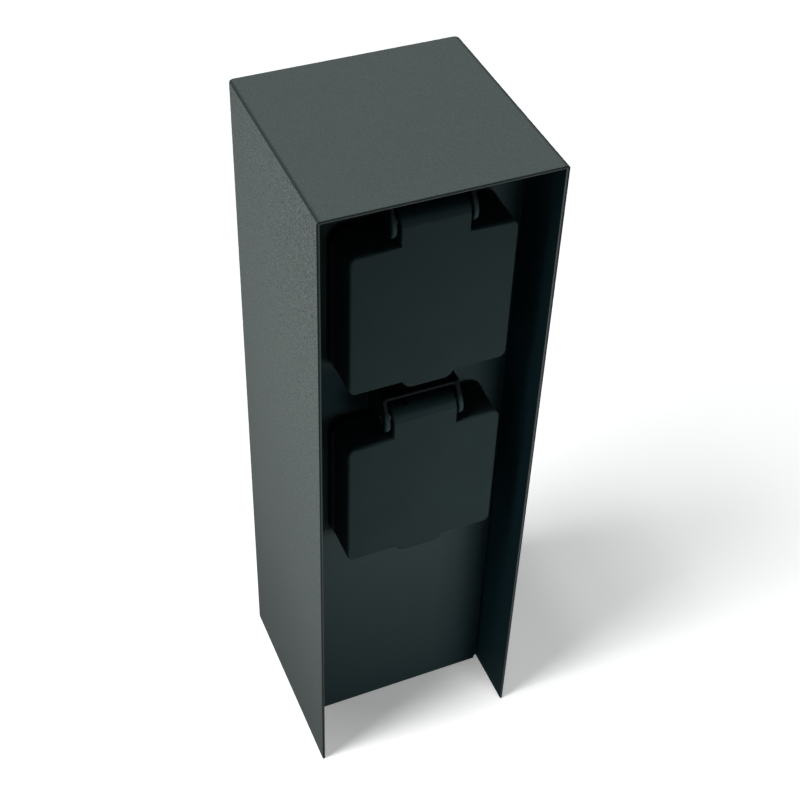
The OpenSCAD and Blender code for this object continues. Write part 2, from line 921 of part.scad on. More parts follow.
module neutral_contact() {
    pin_contact(1);
}

module earth_arm() {
    front = rim_y + strap_set_back;
    block([-strap_w / 2, front, arm_z - strap_t], [strap_w / 2, base_y + strap_t, arm_z]);
    translate([0, front + strap_bead_r, arm_z - strap_t])
        rotate([0, 90, 0])
            cylinder(r = strap_bead_r, h = strap_w, center = true);
}

module earth_clip() {
    color(brass) {
        difference() {
            for (side = [-1, 1])
                rotate([0, side * 90 - 90, 0])
                    earth_arm();
            for (side = [-1, 1])
                rotate([0, side * 90 - 90, 0])
                    block([-strap_w, rim_y, arm_z], [strap_w, base_y, arm_z + 2 * strap_bead_r]);
        }
        block([-strap_w / 2, base_y, -arm_z], [strap_w / 2, base_y + strap_t, arm_z]);
        bar(stem_r, base_y + strap_t / 2, clamp_y + contact_wall);
        wire_clamp();
    }
}

module contact_screws() {
    color(steel)
        at_terminals() {
            bar(clamp_screw_r, clamp_mid + wire_hole_r, clamp_end + screw_head_h);
            bar(clamp_head_r, clamp_end, clamp_end + screw_head_h);
        }
}

module rear_cap() {
    notch_x = pin_x + clamp_w / 2;
    color(black)
        difference() {
            bar(cap_r, shoulder_y, cap_end);
            bar(cap_r - cap_wall, shoulder_y - cut, cap_end - cap_wall);
            block([-notch_x, clamp_y, -cap_r - cut], [notch_x, clamp_end, -clamp_h]);
            block([-notch_x, clamp_y, clamp_h], [notch_x, clamp_end, cap_r + cut]);
        }
}

// The lid on its hinge

module lid_cap() {
    inner_w = lid_w - 2 * lid_wall;
    difference() {
        slab(lid_front, lid_back)
            round_rect(lid_w, lid_w, lid_corner_r);
        slab(lid_inside, lid_back + cut)
            round_rect(inner_w, inner_w, lid_corner_r - lid_wall);
    }
}

module thumb_outline() {
    slope = (thumb_w - thumb_flat) / 2;
    r = (slope * slope + thumb_drop * thumb_drop) / (2 * thumb_drop);
    translate([0, -lid_w / 2]) {
        translate([-thumb_flat / 2, -thumb_drop])
            square([thumb_flat, thumb_drop + r]);
        for (side = [-1, 1])
            translate([side * thumb_flat / 2, r - thumb_drop])
                circle(r);
    }
}

// Room for the spring between the lugs: the front wall and the curved shell over the coil stay,
// and a slot in the shell lets the spring's fixed leg out at the back
module spring_room() {
    low = lid_top - lid_wall - cut;
    back = lid_back + cut;
    axle(knuckle_r - knuckle_wall, -spring_x, spring_x);
    block([-spring_x, lid_inside, low], [spring_x, back, axis_z]);
    block([-spring_x, axis_y - knuckle_wall, low], [leg_slot, back, axis_z + knuckle_r + cut]);
}

module lid() {
    color(lid_grey)
        difference() {
            union() {
                lid_cap();
                slab(lid_front, lid_inside)
                    thumb_outline();
                block([-tab_x, lid_front, lid_top - lid_wall], [tab_x, axis_y, axis_z]);
                axle(knuckle_r, -tab_x, tab_x);
                slab(lid_inside, lid_inside + 2 * seal_rib)
                    difference() {
                        circle(seal_rib_r);
                        circle(seal_rib_r - seal_rib);
                    }
            }
            spring_room();
            axle(hinge_pin_r + lid_play, -tab_x - cut, tab_x + cut);
        }
}

module lid_seal() {
    color(rubber)
        slab(lid_inside, rim_y - seal_gap)
            difference() {
                circle(seal_out);
                circle(seal_out - seal_w);
            }
}

module hinge_pin() {
    color(steel)
        axle(hinge_pin_r, -ear_out, ear_out);
}

module lid_spring() {
    color(steel)
        translate([0, axis_y, axis_z])
            tube(spring_path, spring_wire / 2, spring_sides);
}

outer_hood();
socket_panel();
hood_screws();
clinch_nuts();
cable_grommet();
block_studs();
terminal_block();
terminal_sleeves();
terminal_block_screws();
terminal_block_nuts();
earth_stud();
earth_lug();
earth_washer();
earth_nut();
live_feed_wire();
earth_feed_wire();
neutral_feed_wire();
live_link_wire();
earth_link_wire();
neutral_link_wire();
panel_earth_wire();
upper() housing();  // upper_housing
upper() flange_gasket();  // upper_flange_gasket
upper() flange_screws();  // upper_flange_screws
upper() flange_nuts();  // upper_flange_nuts
upper() contact_base();  // upper_contact_base
upper() base_screws();  // upper_base_screws
upper() live_contact();  // upper_live_contact
upper() neutral_contact();  // upper_neutral_contact
upper() earth_clip();  // upper_earth_clip
upper() contact_screws();  // upper_contact_screws
upper() rear_cap();  // upper_rear_cap
upper() lid();  // upper_lid
upper() lid_seal();  // upper_lid_seal
upper() hinge_pin();  // upper_hinge_pin
upper() lid_spring();  // upper_lid_spring
lower() housing();  // lower_housing
lower() flange_gasket();  // lower_flange_gasket
lower() flange_screws();  // lower_flange_screws
lower() flange_nuts();  // lower_flange_nuts
lower() contact_base();  // lower_contact_base
lower() base_screws();  // lower_base_screws
lower() live_contact();  // lower_live_contact
lower() neutral_contact();  // lower_neutral_contact
lower() earth_clip();  // lower_earth_clip
lower() contact_screws();  // lower_contact_screws
lower() rear_cap();  // lower_rear_cap
lower() lid();  // lower_lid
lower() lid_seal();  // lower_lid_seal
lower() hinge_pin();  // lower_hinge_pin
lower() lid_spring();  // lower_lid_spring
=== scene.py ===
# %% [markdown]
# # A garden socket post, dressed for its picture
# The post is a folded sheet hood, coated in textured anthracite, with two splash-proof sockets on
# a recessed panel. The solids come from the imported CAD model, and this lesson gives them their
# looks: softened edges, wound springs, real screw heads and a finish for every material.
# Everything is in metres, in the frame of the CAD model: +X is right, the front looks along -Y.

import json
import math
from collections import namedtuple

import bmesh
import bpy
from mathutils import Matrix, Vector


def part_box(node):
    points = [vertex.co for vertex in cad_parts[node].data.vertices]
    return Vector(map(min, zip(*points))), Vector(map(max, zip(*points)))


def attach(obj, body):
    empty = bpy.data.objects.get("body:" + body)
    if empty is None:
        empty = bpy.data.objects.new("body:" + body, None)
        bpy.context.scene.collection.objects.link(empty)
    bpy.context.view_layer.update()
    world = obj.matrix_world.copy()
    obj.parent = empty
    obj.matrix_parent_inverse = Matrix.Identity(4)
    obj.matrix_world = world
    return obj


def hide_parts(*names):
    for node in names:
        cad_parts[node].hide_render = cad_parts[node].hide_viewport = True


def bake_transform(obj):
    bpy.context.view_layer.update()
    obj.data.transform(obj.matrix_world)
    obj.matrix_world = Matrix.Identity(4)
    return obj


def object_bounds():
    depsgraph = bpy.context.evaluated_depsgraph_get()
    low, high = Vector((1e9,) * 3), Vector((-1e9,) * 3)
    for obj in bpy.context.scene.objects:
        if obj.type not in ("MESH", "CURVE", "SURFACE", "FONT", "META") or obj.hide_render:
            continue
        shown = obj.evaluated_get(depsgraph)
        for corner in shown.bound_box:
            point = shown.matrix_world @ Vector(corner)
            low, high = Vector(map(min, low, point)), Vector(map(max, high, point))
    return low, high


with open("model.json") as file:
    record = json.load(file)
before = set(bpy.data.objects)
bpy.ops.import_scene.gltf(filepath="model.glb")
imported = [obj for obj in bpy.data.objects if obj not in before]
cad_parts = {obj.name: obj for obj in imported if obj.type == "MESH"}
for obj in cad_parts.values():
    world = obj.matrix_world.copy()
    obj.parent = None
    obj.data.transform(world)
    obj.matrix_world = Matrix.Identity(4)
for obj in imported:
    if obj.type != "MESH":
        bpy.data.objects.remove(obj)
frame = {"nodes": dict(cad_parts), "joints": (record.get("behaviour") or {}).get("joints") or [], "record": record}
cad_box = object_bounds()
cad_nodes, record = frame["nodes"], frame["record"]
slot_of = {row["node"]: row["material_slot"] for row in record["subparts"]}
bodies = record["behaviour"]["bodies"]
body_of = {node: body for body, members in bodies.items() for node in members}
levels = ("upper", "lower")
print(len(cad_nodes), "nodes on the bodies", sorted(bodies))

# %% [markdown]
# ## Measuring the solids
# A fitter measures the post before fitting anything to it. The places could be typed here a second
# time, but then the looks would stay behind when the CAD model changes. So where a piece has to
# meet a solid, its place is measured on that solid. Millimetres are easier to read than metres at
# this scale.

# %% Measuring helpers
MM = 0.001
post_low, post_high = [Vector(corner) / MM for corner in cad_box]
post_side, post_front, post_back, post_top = post_high.x, -post_low.y, post_high.y, post_high.z


def corners_of(node):
    """The lowest and the highest corner of a node's solid, in millimetres."""
    low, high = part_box(node)
    return low / MM, high / MM


def hinge_at(level):
    """The middle of a lid's hinge, in millimetres."""
    joint = next(j for j in frame["joints"] if j["name"] == level + "_lid_hinge")
    return Vector(joint["pos_m"]) / MM


print("the post is", [round(size, 1) for size in post_high - post_low], "mm")

# %% [markdown]
# ## Sums on sockets
# A finish is mostly arithmetic: a grain times a strength, one minus a mask. Laying each Math node
# by hand hides that arithmetic, so one small class wraps a socket and lets Python's operators lay
# the nodes. Its node() method makes every other node: the type, then the settings, then the
# sockets.


# %% The socket class
class Lead:
    """An output socket of a tree. Operators on it add Math nodes, node() adds any other node."""

    def __init__(self, tree, socket=None):
        self.tree = tree
        self.socket = socket

    def node(self, kind, settings=None, sockets=None, out=0):
        made = self.tree.nodes.new(kind)
        for name, value in (settings or {}).items():
            setattr(made, name, value)
        for name, value in (sockets or {}).items():
            if isinstance(name, int):
                taker = made.inputs[name]
            else:
                taker = next(s for s in made.inputs if name in (s.identifier, s.name))
            if isinstance(value, Lead):
                self.tree.links.new(value.socket, taker)
            else:
                taker.default_value = value
        if isinstance(out, str):
            return Lead(self.tree, next(s for s in made.outputs if out in (s.identifier, s.name)))
        return Lead(self.tree, made.outputs[out] if len(made.outputs) else None)

    def other(self, name):
        """Another output of the node that this one comes from."""
        return Lead(self.tree, self.socket.node.outputs[name])

    def parts(self):
        x = self.node("ShaderNodeSeparateXYZ", None, {0: self}, "X")
        return x, x.other("Y"), x.other("Z")

    def maths(self, operation, *values):
        return self.node("ShaderNodeMath", {"operation": operation}, dict(enumerate(values)))

    def __add__(self, other):
        return self.maths("ADD", self, other)

    def __radd__(self, other):
        return self.maths("ADD", other, self)

    def __sub__(self, other):
        return self.maths("SUBTRACT", self, other)

    def __rsub__(self, other):
        return self.maths("SUBTRACT", other, self)

    def __mul__(self, other):
        return self.maths("MULTIPLY", self, other)

    def __rmul__(self, other):
        return self.maths("MULTIPLY", other, self)

    def __truediv__(self, other):
        return self.maths("DIVIDE", self, other)

    def __rtruediv__(self, other):
        return self.maths("DIVIDE", other, self)


# %% [markdown]
# ## What every finish shares
# A finish could follow a UV map, but the solids have none, and unwrapping them would cut the
# pattern at every fold. So each finish starts from the object coordinates: a pattern then has its
# real size in millimetres and stays put on the piece. The helpers are a given colour, a noise whose
# lumps have a given size, a ramp between two values or towards an edge, a mix of two colours, and
# a finish's two ends.


# %% Finish helpers
def shade(red, green, blue):
    """A colour as the eye reads it, 0 to 255, turned into the linear values that a shader takes."""
    parts = [c / 255 for c in (red, green, blue)]
    linear = [c / 12.92 if c <= 0.04045 else ((c + 0.055) / 1.055) ** 2.4 for c in parts]
    return (*linear, 1.0)


def lumps(at, size_mm, detail=2.0, rough=0.5):
    """A noise whose lumps are about size_mm wide."""
    sockets = {"Vector": at, "Scale": 1000 / size_mm, "Detail": detail, "Roughness": rough}
    return at.node("ShaderNodeTexNoise", {"noise_dimensions": "3D"}, sockets, "Fac")


def between(value, low, high):
    """0 below low, 1 above high, and a straight ramp between them."""
    return value.node("ShaderNodeMath", {"operation": "MULTIPLY", "use_clamp": True},
                      {0: value - low, 1: 1 / (high - low)})


def nearing(value, edge, start, end):
    """0 further than start before an edge, and 1 nearer to it than end."""
    return between(value, edge - start, edge - end)


def blend(share, first, second):
    """The first colour at share 0, the second at share 1."""
    return share.node("ShaderNodeMix", {"data_type": "RGBA"},
                      {"Factor_Float": share, "A_Color": first, "B_Color": second}, "Result_Color")


def start_finish(name):
    """A new material, and a lead that carries the object coordinates."""
    material = bpy.data.materials.new(name)
    material.use_nodes = True
    material.node_tree.nodes.clear()
    return material, Lead(material.node_tree).node("ShaderNodeTexCoord", out="Object")


def end_finish(material, at, height, strength, depth_mm, **sockets):
    """Lays a bump from height under a Principled shader that takes the given sockets."""
    bump = at.node("ShaderNodeBump", None,
                   {"Height": height, "Strength": strength, "Distance": depth_mm * MM})
    named = {name.replace("_", " "): value for name, value in sockets.items()}
    shader = at.node("ShaderNodeBsdfPrincipled", None, {**named, "Normal": bump})
    at.node("ShaderNodeOutputMaterial", None, {"Surface": shader})
    print("finish", material.name, "with", len(material.node_tree.nodes), "nodes")
    return material


# %% [markdown]
# ## The textured coat
# The sheet is powder coated: the powder melts into small lumps under a millimetre wide, which
# break up the light into a fine grain. A picture of the surface would do for one view, but it
# would stretch over the folds, while a noise in three dimensions runs round every bend. Other
# things in the coat follow the shape of the hood. Masks lay them on, and a mask has to know where
# on the post a point is. A box could stand for the inside, but it would take in the rounded bends
# at the back, so there the distance from a bend's axis counts.

# %% Where a point is
Spot = namedtuple("Spot", "right ahead height aside")
skin_mm, rim_mm, mask_fade, flush_mm = 0.3, 0.1, 0.1, 0.01
hood_points = [point.co / MM for point in cad_nodes["outer_hood"].data.vertices]
side_end = max(point.y for point in hood_points if point.x > post_side - flush_mm)
back_bend = post_back - side_end


def spot_of(at):
    """Millimetres to the right, to the front and up, and away from the middle on either side."""
    x, y, z = at.parts()
    right = x / MM
    return Spot(right, y / -MM, z / MM, right.maths("ABSOLUTE", right))


def inside_hood(spot):
    """1 on all that lies behind the hood's outer skin, 0 on that skin and on the front rim."""
    past_side = spot.aside - (post_side - back_bend)
    past_back = back_bend - post_back - spot.ahead
    past_side = past_side.maths("MAXIMUM", past_side, 0.0)
    past_back = past_back.maths("MAXIMUM", past_back, 0.0)
    from_bend = past_side * past_side + past_back * past_back
    from_bend = from_bend.maths("SQRT", from_bend)
    inside = between(back_bend - skin_mm - from_bend, 0.0, mask_fade)
    inside = inside * between(post_top - skin_mm - spot.height, 0.0, mask_fade)
    return inside * between(post_front - rim_mm - spot.ahead, 0.0, mask_fade)


print("the hood's back bends have a radius of", round(back_bend, 2), "mm")

# %% [markdown]
# ### The grain
# Charged powder builds up near free edges, so the outer walls are coarser towards the front and
# the top. It hardly flies into a deep box, so inside the coat is smooth. Several noises could be
# mixed for that; one noise with a strength that changes from place to place stays even at the
# seams.

# %% Grain of the coat
grain_mm = 0.34
flat_grain = 0.16
foot_grain, top_grain = 0.17, 0.8
no_grain_at = -130.0
inside_loss = 0.5


def coat_grain(at, spot, inside):
    """The grain itself, and how strongly it shows."""
    outer_wall = nearing(spot.aside, post_side, skin_mm, rim_mm)
    rise = spot.height / post_top
    on_walls = foot_grain + rise * rise * (top_grain - foot_grain)
    on_walls = on_walls * between(spot.ahead, no_grain_at, post_front)
    strength = flat_grain + outer_wall * (on_walls - flat_grain)
    return lumps(at, grain_mm, detail=1.0), strength * (1.0 - inside * inside_loss)


# %% [markdown]
# ### Painted shade on the coat
# Painted shade darkens the coat on the walls of the box, beside the right fold, between the
# sockets and at the foot of the post, inside and out, and tints the recess teal. Each of these is
# a mask with a colour. Laid one over the other in a list, they stay easy to read and to change.

# %% Painted shade of the coat
foot_shade_top, foot_shade_fade = 80.0, 70.0
between_shade_low, between_shade_high, between_shade_fade = 140.0, 196.0, 22.0
between_shade_right, between_shade_across = 0.4, 20.0
fold_start, fold_end = 16.0, 36.0
wall_start, wall_end, rim_fade_start = 1.3, 1.1, 16.0
recess_shade_tint_share, outer_foot_shade, inner_foot_shade, fold_shade_share = 0.7, 0.45, 0.75, 0.7


def painted_hood_shade(spot, inside, tone):
    """Lays painted shade that follows the shape of the hood over the coat's own tone."""
    near_foot = between(foot_shade_top - spot.height, 0.0, foot_shade_fade)
    between_shade = between(spot.height, between_shade_low, between_shade_low + between_shade_fade)
    between_shade = between_shade * between(between_shade_high - spot.height, 0.0, between_shade_fade)
    to_left = between(-1.0 * spot.right, -between_shade_across, between_shade_across)
    to_left = between_shade_right + to_left * (1.0 - between_shade_right)
    wall = nearing(spot.aside, post_side, wall_start, wall_end)
    to_rim = between(spot.ahead, rim_fade_start, post_front)
    wall_shade_tone = blend(to_rim, shade(26, 52, 60), shade(14, 30, 34))
    # Each row is painted shade: a teal tint in the recess, a darker foot outside and inside, a dark strip between
    # the sockets, a dark right fold and dark inner walls.
    for share, colour in (
            (inside * recess_shade_tint_share, shade(86, 104, 104)),
            ((1.0 - inside) * near_foot * outer_foot_shade, shade(60, 68, 67)),
            (inside * near_foot * inner_foot_shade, shade(60, 78, 82)),
            (inside * between_shade * to_left, shade(38, 55, 60)),
            (inside * between(spot.right, fold_start, fold_end) * fold_shade_share, shade(20, 48, 55)),
            (inside * wall, wall_shade_tone)):
        tone = blend(share, tone, colour)
    return tone


# %% [markdown]
# ### The edges, and the whole coat
# Painted lines stand for light on the rounded rims: a pale highlight on their inner edge, and dark
# shade on their outer edge and beside the top. The lines could be modelled as narrow strips; masks
# a few tenths of a millimetre wide do it without more faces. Then the coat is put together.

# %% Coat finish
edge_highlight_share, edge_shade_share = 0.5, 0.8
rim_line, outer_line, beside_line, top_line = (0.3, 0.15), (0.6, 0.4), (1.5, 0.6), (0.35, 0.2)
speckle_low, speckle_high = 0.36, 0.64
peel_mm, peel_share = 3.5, 0.4


def painted_edge_lines(spot, tone):
    """A painted highlight inside the rims, and painted shade outside them and beside the top."""
    rim = nearing(spot.ahead, post_front, *rim_line)
    outer = nearing(spot.aside, post_side, *outer_line)
    outer = between(outer + nearing(spot.height, post_top, *outer_line), 0.0, 1.0)
    beside_top = nearing(spot.aside, post_side, *beside_line)
    beside_top = beside_top * nearing(spot.height, post_top, *top_line)
    # The pale line is a painted highlight, the dark lines are painted shade.
    tone = blend(rim * (1.0 - outer) * edge_highlight_share, tone, shade(126, 136, 134))
    dark = between(rim * outer + beside_top, 0.0, 1.0)
    return blend(dark * edge_shade_share, tone, shade(46, 54, 53))


def make_coat():
    material, at = start_finish("anthracite_coat")
    spot = spot_of(at)
    inside = inside_hood(spot)
    grain, strength = coat_grain(at, spot, inside)
    peel = lumps(at, peel_mm, detail=1.0)
    speckle = (between(grain, speckle_low, speckle_high) - 0.5) * strength + 0.5
    tone = blend(speckle, shade(34, 40, 39), shade(126, 137, 136))
    # Painted shade of the hood, then the painted highlight and shade of the edges, go over the grain.
    tone = painted_edge_lines(spot, painted_hood_shade(spot, inside, tone))
    return end_finish(material, at, grain * strength + peel * peel_share, strength=0.8,
                      depth_mm=0.15, Base_Color=tone, Roughness=0.6 + grain * 0.25,
                      Specular_IOR_Level=0.03)


coat = make_coat()

# %% [markdown]
# ## The mouldings
# Lids and housings are injection moulded. The tool is spark eroded, which leaves a very fine matt
# grain, and the lid is a dark grey next to the blacker housing. One flat colour would look
# painted. The grain is smaller than the coat's, so the two read as different materials even where
# their colours are close. A lid gets painted shade on its skirt and on the knuckle above a line
# over the hinge, and the hinge box's front edges get a painted highlight.

# %% Painted shade and highlight on the mouldings
skirt_shade_share, skirt_start, skirt_end = 0.8, 1.6, 0.7
line_above_hinge, knuckle_rise, line_fade, knuckle_shade_share = 0.8, 6.0, 0.4, 0.45
ear_highlight_share, ear_highlight_start, ear_highlight_end = 0.9, 2.0, 0.4


def lid_painted_shade(at, tone):
    """Painted shade on a lid's skirt and on its knuckle."""
    spot = spot_of(at)
    reach = -corners_of("upper_lid")[0].y
    # The darker skirt and the darker knuckle are painted shade.
    on_face = nearing(spot.ahead, reach, skirt_start, skirt_end)
    tone = blend(skirt_shade_share - on_face * skirt_shade_share, tone, shade(20, 28, 32))
    for level in levels:
        above_line = spot.height - (hinge_at(level).z + line_above_hinge)
        knuckle = between(above_line, 0.0, line_fade)
        knuckle = knuckle * between(knuckle_rise - above_line, 0.0, line_fade)
        tone = blend(knuckle * knuckle_shade_share, tone, shade(34, 50, 54))
    return tone


def hinge_painted_highlight(at, tone):
    """A painted highlight on the front edges of the hinge box."""
    reach = -corners_of("upper_housing")[0].y
    ear_highlight = nearing(spot_of(at).ahead, reach, ear_highlight_start, ear_highlight_end)
    # The paler front edges are a painted highlight.
    return blend(ear_highlight * ear_highlight_share, tone, shade(62, 80, 82))


# %% Moulded finishes
def make_moulding(name, dark, pale, rough, gloss, painted_shading=None):
    material, at = start_finish(name)
    spark = lumps(at, size_mm=0.22, rough=0.6)
    flow = between(lumps(at, size_mm=18.0), 0.25, 0.75)
    tone = blend(flow * 0.6 + spark * 0.4, dark, pale)
    # Painted shade or highlight, for the mouldings that have it.
    if painted_shading:
        tone = painted_shading(at, tone)
    return end_finish(material, at, spark, strength=0.35, depth_mm=0.04,
                      Base_Color=tone, Roughness=rough + spark * 0.16,
                      Specular_IOR_Level=gloss, Specular_Tint=(0.85, 1.0, 1.0, 1.0))


lid_moulding = make_moulding("lid_moulding", shade(54, 68, 69), shade(60, 75, 76),
                             rough=0.5, gloss=0.03, painted_shading=lid_painted_shade)
housing_moulding = make_moulding("housing_moulding", shade(12, 18, 20), shade(16, 23, 25),
                                 rough=0.34, gloss=0.06, painted_shading=hinge_painted_highlight)
ivory_moulding = make_moulding("ivory_moulding", shade(205, 201, 186), shade(217, 213, 200),
                               rough=0.38, gloss=0.4)

# %% [markdown]
# ## Rubber
# The gaskets, the lid seals and the cable grommet are a soft black rubber. The mouldings' finish
# would look too hard on them: rubber spreads its sheen widely, and has a bloom of dust that is
# paler in slow patches.


# %% Rubber finish
def make_rubber():
    material, at = start_finish("soft_rubber")
    pores = lumps(at, size_mm=0.3, rough=0.6)
    bloom = between(lumps(at, size_mm=9.0, detail=3.0), 0.4, 0.75)
    tone = blend(bloom * 0.5 + pores * 0.2, shade(22, 22, 23), shade(44, 44, 45))
    return end_finish(material, at, pores, strength=0.3, depth_mm=0.05,
                      Base_Color=tone, Roughness=0.7 + pores * 0.2, Specular_IOR_Level=0.25)


rubber = make_rubber()

# %% [markdown]
# ## Metals
# Screws, nuts and studs are zinc plated, the springs and pins are drawn wire, and everything that
# carries current is brass. A grey or a yellow alone would not look like metal, because bare metal
# shows its colour only in what it mirrors. So what varies most is the roughness: crystals in the
# zinc, fine scuffs on the drawn wire, and a tarnish on the brass that is darker too.

# %% Metal finishes
crystals_per_metre, scuffs_per_mm = 1400.0, 5.2


def make_zinc():
    material, at = start_finish("zinc_plate")
    crystals = at.node("ShaderNodeTexVoronoi", {"feature": "F1"},
                       {"Vector": at, "Scale": crystals_per_metre}, "Distance")
    haze = lumps(at, size_mm=2.5, detail=3.0)
    tone = blend(haze, shade(172, 175, 180), shade(198, 200, 203))
    return end_finish(material, at, crystals, strength=0.12, depth_mm=0.03,
                      Base_Color=tone, Roughness=0.24 + crystals * 0.2 + haze * 0.1, Metallic=1.0)


def make_drawn_wire():
    material, at = start_finish("drawn_wire")
    scuffs = lumps(at, 1 / scuffs_per_mm, detail=1.0)
    haze = lumps(at, size_mm=1.6)
    tone = blend(haze, shade(158, 160, 164), shade(190, 191, 194))
    return end_finish(material, at, scuffs, strength=0.15, depth_mm=0.02,
                      Base_Color=tone, Roughness=0.22 + scuffs * 0.16, Metallic=1.0)


def make_brass():
    material, at = start_finish("contact_brass")
    tarnish = between(lumps(at, size_mm=3.0, detail=4.0, rough=0.6), 0.42, 0.72)
    rolled = lumps(at, size_mm=0.25, detail=1.0)
    tone = blend(tarnish, shade(214, 178, 98), shade(160, 122, 62))
    return end_finish(material, at, rolled, strength=0.12, depth_mm=0.03,
                      Base_Color=tone, Roughness=0.2 + tarnish * 0.25 + rolled * 0.08, Metallic=1.0)


zinc = make_zinc()
drawn_wire = make_drawn_wire()
brass = make_brass()

# %% [markdown]
# ## Wire covers
# The wires inside are covered in brown, blue, and green with a yellow stripe. The stripe runs
# along the wire, so it can't come from a place in space: the sweep that makes a wire stores, on
# each point, how far round the wire the point is, and the cover reads that. Then every node gets
# its finish.

# %% Cover finishes
dark_skin = 0.85
stripe_start, stripe_end = 0.15, 0.2


def make_cover(name, colour, stripe=None):
    material, at = start_finish(name)
    skin = lumps(at, size_mm=0.4)
    darker = tuple(dark_skin * c for c in colour[:3]) + (1.0,)
    tone = blend(skin, darker, colour)
    if stripe:
        round_side = at.node("ShaderNodeAttribute", {"attribute_name": "round_side"}, out="Fac")
        tone = blend(between(round_side, stripe_start, stripe_end), tone, stripe)
    return end_finish(material, at, skin, strength=0.1, depth_mm=0.03,
                      Base_Color=tone, Roughness=0.36 + skin * 0.14)


brown_cover = make_cover("brown_cover", shade(104, 62, 34))
blue_cover = make_cover("blue_cover", shade(46, 92, 168))
striped_cover = make_cover("striped_cover", shade(58, 132, 52), shade(222, 196, 52))
finish_of_slot = {
    "coat": coat, "lid_plastic": lid_moulding, "black_plastic": housing_moulding, "rubber": rubber,
    "steel": zinc, "brass": brass, "ivory_plastic": ivory_moulding, "brown_wire": brown_cover,
    "blue_wire": blue_cover, "green_wire": striped_cover,
}
for name, solid in cad_nodes.items():
    solid.data.materials.clear()
    solid.data.materials.append(finish_of_slot[slot_of[name]])
print("finishes laid on", len(cad_nodes), "nodes")

# %% [markdown]
# ## Softened edges
# A knife-sharp edge catches no light, and the real sheet and mouldings have a small radius on
# every edge that a hand can reach. The solids leave that radius out, so these pieces are copied,
# their doubled points merged and their flat triangles joined, and a Bevel rounds the edges that a
# rule picks. Rounding all of them would be simpler, but round a small hole or slot the surface
# would fold over itself.

# %% A clean copy
merge_m = 1e-6
flat_angle, fold_angle = math.radians(0.3), math.radians(35)


def clean_copy(node):
    """A node's solid as a bmesh, with its doubled points merged and its flat triangles joined."""
    shape = bmesh.new()
    shape.from_mesh(cad_nodes[node].data)
    bmesh.ops.remove_doubles(shape, verts=shape.verts, dist=merge_m)
    bmesh.ops.dissolve_limit(shape, angle_limit=flat_angle, verts=shape.verts, edges=shape.edges)
    return shape


def mark_edges(shape, picks):
    """Marks every fold sharp, gives the picked ones a bevel weight, and counts those."""
    weight = shape.edges.layers.float.new("bevel_weight_edge")
    rounded = 0
    for edge in shape.edges:
        fold = len(edge.link_faces) == 2 and edge.calc_face_angle() > fold_angle
        if fold and picks(*[end.co / MM for end in edge.verts]):
            edge[weight] = 1.0
            rounded += 1
        edge.smooth = not fold
    for face in shape.faces:
        face.smooth = True
    return rounded


# %% The softening helper
def put_in_scene(name, data):
    """A new object of a mesh, curve, lamp or lens, linked to the scene."""
    made = bpy.data.objects.new(name, data)
    bpy.context.scene.collection.objects.link(made)
    return made


def take_place(piece, node):
    """Lets a finished piece ride on its node's body, and show in place of the node."""
    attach(piece, body_of[node])
    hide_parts(node)


def soften(node, picks, radius_mm, steps):
    """A copy of a node with rounded edges. picks(a, b) tells if the edge from a to b is rounded."""
    shape = clean_copy(node)
    rounded = mark_edges(shape, picks)
    mesh = bpy.data.meshes.new(node + "_soft")
    shape.to_mesh(mesh)
    shape.free()
    if "custom_normal" in mesh.attributes:
        mesh.attributes.remove(mesh.attributes["custom_normal"])
    mesh.materials.append(finish_of_slot[slot_of[node]])
    piece = put_in_scene(node + "_soft", mesh)
    bevel = piece.modifiers.new("rounded_edges", "BEVEL")
    bevel.limit_method = "WEIGHT"
    bevel.use_clamp_overlap = False
    bevel.width = radius_mm * MM
    bevel.segments = steps
    bevel.harden_normals = True
    print(piece.name, "has", rounded, "of", len(mesh.edges), "edges rounded by", radius_mm, "mm")
    take_place(piece, node)


# %% [markdown]
# ## Hood and panel
# The sheet is cut by laser and tumbled before it is coated, which takes about a quarter of a
# millimetre off the long edges. Small holes and the reliefs in the corners stay as they were cut.
# A list of edges could say which is which; their length says it too, and goes on doing so when the
# sheet changes.

# %% Soften the sheet
long_mm = 3.0


def long_edge(a, b):
    return (a - b).length > long_mm


soften("outer_hood", long_edge, radius_mm=0.3, steps=2)
soften("socket_panel", long_edge, radius_mm=0.25, steps=2)

# %% [markdown]
# ## Lids and hinge boxes
# The face of a lid is rounded all along its outline, so that the painted shade of the skirt fades
# into it, and only the knuckle keeps crisp sides. The ears and the roof over the hinge have a
# moulded radius too, which with the painted highlight on their front edges makes them show as pale
# lines in the dark of the hinge box. Rounding the whole housing would spoil the bores of the pin,
# so both rules measure from the hinge and leave such places out.

# %% Soften the lids and hinge boxes
lid_front = corners_of("upper_lid")[0].y
flange_front = corners_of("upper_flange_screws")[0].y
cap_below_hinge, knuckle_half, bore_reach = 5.6, 11.5, 2.2
face_slack, flange_slack, stands_out = 0.05, 0.02, 0.5


def lid_outline(level):
    def picks(a, b):
        beside_knuckle = max(abs(a.x), abs(b.x)) < knuckle_half
        above_cap = min(a.z, b.z) > hinge_at(level).z - cap_below_hinge
        return max(a.y, b.y) < lid_front + face_slack and not (beside_knuckle and above_cap)
    return picks


def ears_and_roof(level):
    def picks(a, b):
        from_pin = min((end - hinge_at(level)).yz.length for end in (a, b))
        clear_of_flange = max(a.y, b.y) < flange_front + flange_slack
        in_front = clear_of_flange and min(a.y, b.y) < flange_front - stands_out
        return in_front and from_pin > bore_reach
    return picks


for level in levels:
    soften(level + "_lid", lid_outline(level), radius_mm=0.8, steps=4)
    soften(level + "_housing", ears_and_roof(level), radius_mm=0.6, steps=4)

